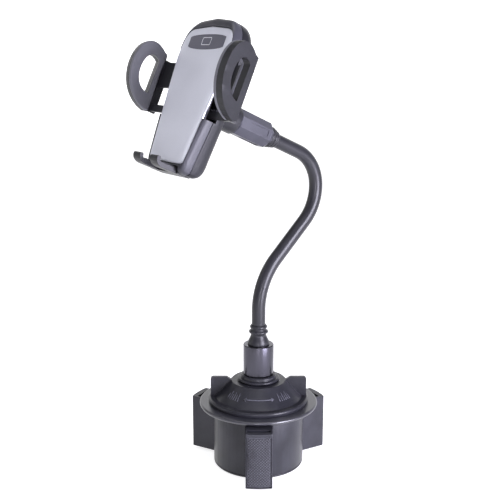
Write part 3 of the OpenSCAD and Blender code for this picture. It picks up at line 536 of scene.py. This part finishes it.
def between(share, grow=0.0):
    """Radii between the plate's outline (0) and the casing's outline (1), moved out by grow."""
    return [p + (o - p) * share + grow for p, o in zip(plate_r, outer_r)]


def box_mesh(name, low, high):
    """A box given in the cradle's own directions."""
    corners = [in_cradle(x, y, z) for x in (low[0], high[0]) for y in (low[1], high[1])
               for z in (low[2], high[2])]
    mesh = bpy.data.meshes.new(name)
    mesh.from_pydata(corners, [], [(0, 1, 3, 2), (4, 6, 7, 5), (0, 4, 5, 1), (2, 3, 7, 6), (0, 2, 6, 4),
                                   (1, 5, 7, 3)])
    return mesh


def rod_mesh(name, x, z, r, y0, y1, sides=48):
    """A round cutter along the cradle's depth."""
    turns = [2 * math.pi * j / sides for j in range(sides)]
    return loft(name, [[in_cradle(x + r * math.cos(turn), y, z + r * math.sin(turn)) for turn in turns]
                       for y in (y0, y1)])


def cut(mesh, cutters):
    """The mesh with the cutters taken away."""
    body = bpy.data.objects.new("cut_body", mesh)
    bpy.context.scene.collection.objects.link(body)
    tools = []
    for cutter in cutters:
        tool = bpy.data.objects.new("cut_tool", cutter)
        bpy.context.scene.collection.objects.link(tool)
        tools.append(tool)
        carve = body.modifiers.new("carve", "BOOLEAN")
        carve.operation = "DIFFERENCE"
        carve.solver = "EXACT"
        carve.object = tool
    bpy.context.view_layer.update()
    done = bpy.data.meshes.new_from_object(body.evaluated_get(bpy.context.evaluated_depsgraph_get()))
    done.name = mesh.name
    for thing in [body, *tools]:
        bpy.data.objects.remove(thing)
    return done


CASING_WALL = 0.0018
PLATE_REST = 0.72
WINDOW_IN, WINDOW_BACK = 0.0253, 0.0066
NOTCH_HALF, NOTCH_TOP = 0.0175, -0.0459
# cutters start and end beyond the casing
FRONT_OF, SIDE_OF, BELOW = -0.01, 0.05, -0.06
arm_windows = [box_mesh("window", (WINDOW_IN, FRONT_OF, WINDOW[0]), (SIDE_OF, WINDOW_BACK, WINDOW[1])),
               box_mesh("window", (-SIDE_OF, FRONT_OF, WINDOW[0]), (-WINDOW_IN, WINDOW_BACK, WINDOW[1]))]
frame_mesh = loft("front_casing", [
    cradle_ring([PLATE_REST * r for r in plate_r], -0.001), cradle_ring(between(0.1), -0.001),
    cradle_ring(between(0.1), -0.0022), cradle_ring(between(0.2), -0.0027),
    cradle_ring(between(0.4), -0.0027), cradle_ring(between(0.6), -0.0023),
    cradle_ring(between(0.8), -0.0015),
    cradle_ring(between(0.93), -0.0004), cradle_ring(between(0.99), 0.001), cradle_ring(outer_r, 0.0026),
    cradle_ring(outer_r, SEAM - 0.0008), cradle_ring(between(1, -0.0005), SEAM - 0.0003),
    cradle_ring(between(1, -0.0005), SEAM), cradle_ring(between(1, -CASING_WALL), SEAM),
    cradle_ring(between(1, -CASING_WALL), 0.0005), cradle_ring([PLATE_REST * r for r in plate_r], 0.0005)],
    joined=True)
frame_mesh = cut(frame_mesh, arm_windows + [
    box_mesh("notch", (-NOTCH_HALF, FRONT_OF, BELOW), (NOTCH_HALF, 0.01, NOTCH_TOP)),
    box_mesh("pawl_hole", (-0.007, FRONT_OF, 0.022), (0.007, 0.004, 0.042))])
front_casing = add_piece(frame_mesh, frame_plastic, "cradle", ["front_frame"])
rounded(front_casing, 0.0004)
# the rear shell's profile, as (inset from the outline, depth)
SHELL_STEPS = [(0.0, SEAM), (0.0, 0.0085), (0.0004, 0.0108), (0.0014, 0.0128), (0.003, 0.0145),
               (0.0055, 0.0159), (0.009, 0.0169), (0.013, 0.0174), (0.019, SHELL_BACK)]
shell_rings = [cradle_ring(between(1, -inset), y) for inset, y in SHELL_STEPS]
inner_rings = [cradle_ring(between(1, -inset - CASING_WALL), y - (CASING_WALL if inset else 0.0))
               for inset, y in SHELL_STEPS]
inner_rings[0] = cradle_ring(between(1, -CASING_WALL), SEAM)
shell_mesh = loft("rear_casing", inner_rings[::-1] + shell_rings)
SCREW_PLACES = [(-0.016, 0.042), (0.016, 0.042), (-0.014, -0.032), (0.014, -0.032)]
shell_mesh = cut(shell_mesh, arm_windows + [
    box_mesh("notch", (-NOTCH_HALF, 0.0, BELOW), (NOTCH_HALF, 0.0094, NOTCH_TOP)),
    rod_mesh("button_hole", 0, 0.037, 0.0063, 0.010, 0.03),
    rod_mesh("stud_hole", 0, 0, 0.0035, 0.010, 0.03)]
    + [rod_mesh("screw_hole", x, z, 0.0026, 0.0135, 0.03, 24) for x, z in SCREW_PLACES])
rear_casing = add_piece(shell_mesh, shell_plastic, "cradle", ["rear_shell"])
rounded(rear_casing, 0.0004)
dress("shell_screws", steel, 0.0001)

# ---------------------------------------------------------------- face plate and badge
# The phone lies on a stamped plate with a satin silver lacquer. A plain badge is let into its top.


def lacquer(name, dark, light, rough):
    """Silver lacquer: fine flakes under a soft clear coat."""
    material, shader, base = new_material(name)
    place = base.node("TexCoord", out=3)
    flakes = base.node("TexVoronoi", {"Vector": place, "Scale": 9000.0})
    cloud = base.node("TexNoise", {"Vector": place, "Scale": 35.0, "Detail": 3.0})
    bump = base.node("Bump", {"Strength": 0.12, "Distance": 0.00003, "Height": flakes})
    feed(material, shader, Base_Color=(cloud * 0.6 + flakes * 0.4).tint(dark, light), Metallic=0.55,
         Roughness=rough + 0.08 * cloud, Coat_Weight=0.3, Coat_Roughness=0.25, Normal=bump)
    return material


silver = lacquer("silver_lacquer", (0.56, 0.57, 0.64), (0.72, 0.73, 0.81), 0.32)
badge_plastic = moulded("badge_plastic", (0.075, 0.075, 0.095), (0.12, 0.12, 0.15), 0.4)
BADGE_HALF = 0.021
BADGE_Z = PLATE_TOP - 0.0106


def badge_ring(y, grow):
    """The barrel outline of the badge at the depth y."""
    half = BADGE_HALF + grow
    top = bezier([(half, BADGE_Z + 0.003), (half * 0.8, BADGE_Z + 0.0056 + grow),
                  (-half * 0.8, BADGE_Z + 0.0056 + grow), (-half, BADGE_Z + 0.003)], 24)
    low = bezier([(-half, BADGE_Z - 0.0036), (-half * 0.8, BADGE_Z - 0.0064 - grow),
                  (half * 0.8, BADGE_Z - 0.0064 - grow), (half, BADGE_Z - 0.0036)], 24)
    return [in_cradle(p.x, y, p.y) for p in top + low]


plate_mesh = loft("silver_plate", [
    cradle_ring(plate_r, -0.0012), cradle_ring(plate_r, -0.0021), cradle_ring(between(0, -0.00015), -0.0024),
    cradle_ring(between(0, -0.0005), -0.00262), cradle_ring(between(0, -0.0012), -0.00272),
    cradle_ring([0.8 * r for r in plate_r], -0.00278), cradle_ring([0.4 * r for r in plate_r], PLATE_FRONT)])
plate_mesh = cut(plate_mesh, [loft("recess", [badge_ring(-0.01, 0.0001), badge_ring(-0.002, 0.0001)])])
plate = add_piece(plate_mesh, silver, "cradle", ["face_plate"])
rounded(plate, 0.00012, 2)
badge_mesh = loft("plain_badge", [badge_ring(-0.00205, 0.0), badge_ring(-0.0027, 0.0),
                                  badge_ring(-0.00285, -0.0002), badge_ring(-0.0029, -0.0006)])
add_piece(badge_mesh, badge_plastic, "cradle", ["badge"])


def outline_strip(name, place, half_w, half_h, corner, width, y, proud):
    """A raised rounded rectangle drawn as a thin line, a plain sign for a phone."""
    def ring(grow, depth):
        points = []
        for quarter in range(4):
            turn = math.pi / 2 * quarter
            cx = math.copysign(half_w - corner, math.cos(turn + math.pi / 4))
            cz = math.copysign(half_h - corner, math.sin(turn + math.pi / 4))
            for step in range(7):
                angle = turn + math.pi / 12 * step
                reach = corner + grow
                points.append(in_cradle(place[0] + cx + reach * math.cos(angle), depth,
                                        place[1] + cz + reach * math.sin(angle)))
        return points
    return loft(name, [ring(0, y), ring(0, y - proud), ring(-width, y - proud), ring(-width, y)], joined=True)


sign_paint = moulded("sign_paint", (0.55, 0.55, 0.6), (0.72, 0.72, 0.78), 0.4, grain=0.1)
sign_mesh = outline_strip("phone_sign", (0, BADGE_Z), 0.0052, 0.0027, 0.0009, 0.0004, -0.00288, 0.00006)
add_piece(sign_mesh, sign_paint, "cradle")

# ---------------------------------------------------------------- arms, jaws and pinion
# Each arm is one moulding of a rack bar and an open jaw. A softer rubber pad is moulded on the jaw's
# inner face. A nylon pinion meshes with both racks, and a flat steel spiral opens them.
arm_plastic = moulded("arm_plastic", (0.007, 0.007, 0.009), (0.018, 0.018, 0.022), 0.38)
jaw_rubber = moulded("jaw_rubber", (0.085, 0.085, 0.10), (0.14, 0.14, 0.165), 0.5, grain=0.4)
JAW_IN = 0.048
TOE_IN = math.radians(10)
JAW_CENTRE = Vector((-0.0105, 0.013))
JAW_STEPS = 144
PAD_EDGE = -0.0003


def jaw_radii(outline):
    """Distances from the jaw's centre to a closed outline, at even angles."""
    radii = []
    for step in range(JAW_STEPS):
        angle = 2 * math.pi * step / JAW_STEPS
        way = Vector((math.cos(angle), math.sin(angle)))
        hits = []
        for a, b in zip(outline, outline[1:] + outline[:1]):
            edge, start = b - a, a - JAW_CENTRE
            turn = way.x * edge.y - way.y * edge.x
            if abs(turn) > 1e-12:
                along = (start.x * edge.y - start.y * edge.x) / turn
                share = (start.x * way.y - start.y * way.x) / turn
                if along > 0 and -1e-6 <= share <= 1 + 1e-6:
                    hits.append(along)
        radii.append(max(hits))
    return radii


jaw_outer = jaw_radii(bezier([(-0.002, 0.0315), (-0.025, 0.051), (-0.034, -0.004), (-0.002, -0.012)], 60)
                      + [Vector((PAD_EDGE, -0.0114)), Vector((PAD_EDGE, 0.0309))])
jaw_hole = jaw_radii(bezier([(-0.004, 0.024), (-0.016, 0.036), (-0.022, 0.002), (-0.0045, 0.0)], 60))


def jaw_ring(side, x, share, grow=0.0):
    """One ring of a jaw at the depth x: share 0 is the hole's edge and 1 the outer edge."""
    ring = []
    for step, (hole, outer) in enumerate(zip(jaw_hole, jaw_outer)):
        angle = 2 * math.pi * step / JAW_STEPS
        r = hole + (outer - hole) * share + grow
        y, z = JAW_CENTRE.x + r * math.cos(angle), JAW_CENTRE.y + r * math.sin(angle)
        across = JAW_IN + x * math.cos(TOE_IN) - y * math.sin(TOE_IN)
        back = x * math.sin(TOE_IN) + y * math.cos(TOE_IN)
        ring.append(in_cradle(side * across, back, z))
    return ring


for side, name in ((-1, "left"), (1, "right")):
    dress(f"arm_{name}", arm_plastic, 0.0006)
    pad_mesh = loft(f"soft_jaw_{name}", [
        jaw_ring(side, 0.00297, 0), jaw_ring(side, 0.0008, 0), jaw_ring(side, 0.0002, 0, 0.0003),
        jaw_ring(side, 0.0, 0, 0.0010), jaw_ring(side, 0.0004, 0.5), jaw_ring(side, 0.0, 1, -0.0014),
        jaw_ring(side, 0.0002, 1, -0.0006), jaw_ring(side, 0.0009, 1, -0.0001),
        jaw_ring(side, 0.0022, 1, 0.0), jaw_ring(side, 0.00297, 1, -0.0005)], joined=True)
    add_piece(pad_mesh, jaw_rubber, f"{name}_arm", [f"jaw_pad_{name}"])
dress("pinion", nylon, 0.0)
dress("pinion_spring", steel, 0.0)

# ---------------------------------------------------------------- release button and feet
# The button on the back pushes the latch's pawl off the ratchet. The feet are one slide with two
# hooks, each with a ribbed rubber pad.
dress("release_button", nut_plastic, 0.0003)
dress("latch_pawl", steel, 0.0001)

coil_mesh = frame["nodes"]["button_spring"].data.copy()
coil_mesh.name = "pressed_coil"
coil_mesh.materials.clear()
coil_place = frame["nodes"]["button_spring"].matrix_world.copy()
coil_mesh.transform(coil_place)
depths = [(v.co - cradle_origin).dot(back_axis) for v in coil_mesh.vertices]
coil_rise = sum((v.co - cradle_origin).dot(up_axis) for v in coil_mesh.vertices) / len(depths)
coil = add_piece(coil_mesh, steel, None, ["button_spring"])
in_cradle(0, min(depths), coil_rise)
in_cradle(0, max(depths), coil_rise)
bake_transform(coil)
dress("foot_carriage", arm_plastic, 0.0005)
FOOT_PLACES = (-0.011, 0.011)
FOOT_PAD_HALF = 0.0037
FOOT_PAD_Y = (-0.0128, -0.0012)
FOOT_PAD_Z = -0.04748
RIB_PITCH = 0.00145
RIB_LOW, RIB_HIGH = 0.00045, 0.0008


def foot_pad_mesh(x):
    """A rubber strip with round ribs across it."""
    wave = []
    for step in range(97):
        y = FOOT_PAD_Y[0] + (FOOT_PAD_Y[1] - FOOT_PAD_Y[0]) * step / 96
        rise = abs(math.sin(math.pi * (y - FOOT_PAD_Y[0]) / RIB_PITCH))
        wave.append((y, FOOT_PAD_Z + RIB_LOW + (RIB_HIGH - RIB_LOW) * rise))
    outline = [(FOOT_PAD_Y[1], FOOT_PAD_Z), (FOOT_PAD_Y[0], FOOT_PAD_Z)] + wave
    return loft("ribbed_pad", [[in_cradle(x + side * FOOT_PAD_HALF, y, z) for y, z in outline]
                               for side in (-1, 1)])


ribbed = bmesh.new()
for x in FOOT_PLACES:
    ribbed.from_mesh(foot_pad_mesh(x))
ribbed_mesh = bpy.data.meshes.new("ribbed_foot_pads")
ribbed.to_mesh(ribbed_mesh)
ribbed.free()
add_piece(ribbed_mesh, foot_rubber, "feet", ["foot_pads"], smooth=False)

# ---------------------------------------------------------------- floor, light and camera
# A plain pale floor, wide soft lights, and a long lens at the height of the phone.
FLOOR_HALF = 6
SHEET_AWAY = 3.0
SHEET_HALF = 3.5
SHEET_TALL = 2.2
CAMERA_AZIMUTH = math.radians(54)


def stage_sheet(name, corners, paint_name, **finish):
    """A flat sheet of the set, faintly lit from inside."""
    mesh = bpy.data.meshes.new(name)
    mesh.from_pydata(corners, [], [(0, 1, 2, 3)])
    sheet = bpy.data.objects.new(name, mesh)
    bpy.context.scene.collection.objects.link(sheet)
    paint, shader, _ = new_material(paint_name)
    feed(paint, shader, Roughness=0.9, Emission_Color=(1, 1, 1, 1), **finish)
    mesh.materials.append(paint)


stage_sheet("floor", [(-FLOOR_HALF, -FLOOR_HALF, 0), (FLOOR_HALF, -FLOOR_HALF, 0),
                      (FLOOR_HALF, FLOOR_HALF, 0), (-FLOOR_HALF, FLOOR_HALF, 0)],
            "floor_paint", Base_Color=(0.6, 0.6, 0.61, 1), Specular_IOR_Level=0.1, Emission_Strength=0.78)
# a lit white sheet far behind the object
behind = Vector((-math.sin(CAMERA_AZIMUTH), math.cos(CAMERA_AZIMUTH), 0))
along = Vector((behind.y, -behind.x, 0))
stage_sheet("backdrop", [behind * SHEET_AWAY + along * side * SHEET_HALF + Vector((0, 0, z))
                         for side, z in ((-1, 0), (1, 0), (1, SHEET_TALL), (-1, SHEET_TALL))],
            "sheet_paint", Base_Color=(0.9, 0.9, 0.9, 1), Emission_Strength=0.9)

world = bpy.data.worlds.new("studio")
bpy.context.scene.world = world
world.use_nodes = True
world.node_tree.nodes["Background"].inputs["Color"].default_value = (0.93, 0.93, 1.0, 1)
world.node_tree.nodes["Background"].inputs["Strength"].default_value = 0.2


def soft_light(name, place, aim, size, power, colour=(1, 1, 1)):
    """A rectangular softbox that faces a point."""
    lamp = bpy.data.lights.new(name, "AREA")
    lamp.shape = "RECTANGLE"
    lamp.size, lamp.size_y = size
    lamp.energy = power
    lamp.color = colour
    light = bpy.data.objects.new(name, lamp)
    light.location = place
    light.rotation_euler = (Vector(aim) - Vector(place)).to_track_quat("-Z", "Y").to_euler()
    bpy.context.scene.collection.objects.link(light)


middle = (0, -0.01, 0.16)
soft_light("key_right", (0.74, 0.14, 0.22), middle, (0.34, 0.60), 20, (0.86, 0.84, 1.0))
soft_light("strip_front", (0.64, -0.52, 0.14), middle, (0.07, 0.40), 2.6, (0.93, 0.91, 1.0))
soft_light("fill_left", (-0.55, -0.75, 0.55), middle, (0.5, 0.9), 2, (0.96, 0.96, 1.0))
soft_light("top", (0.05, -0.1, 1.2), middle, (0.9, 0.9), 6)

CAMERA_PLACE = (0.5097, -0.3781, 0.3089)
CAMERA_DOWN = math.radians(12.91)
lens = bpy.data.cameras.new("camera")
lens.lens = 64.8
lens.sensor_width = 36
lens.clip_start = 0.01
camera = bpy.data.objects.new("camera", lens)
camera.location = CAMERA_PLACE
camera.rotation_euler = (math.pi / 2 - CAMERA_DOWN, 0, CAMERA_AZIMUTH)
bpy.context.scene.collection.objects.link(camera)
bpy.context.scene.camera = camera
bpy.context.scene.view_settings.view_transform = "Standard"
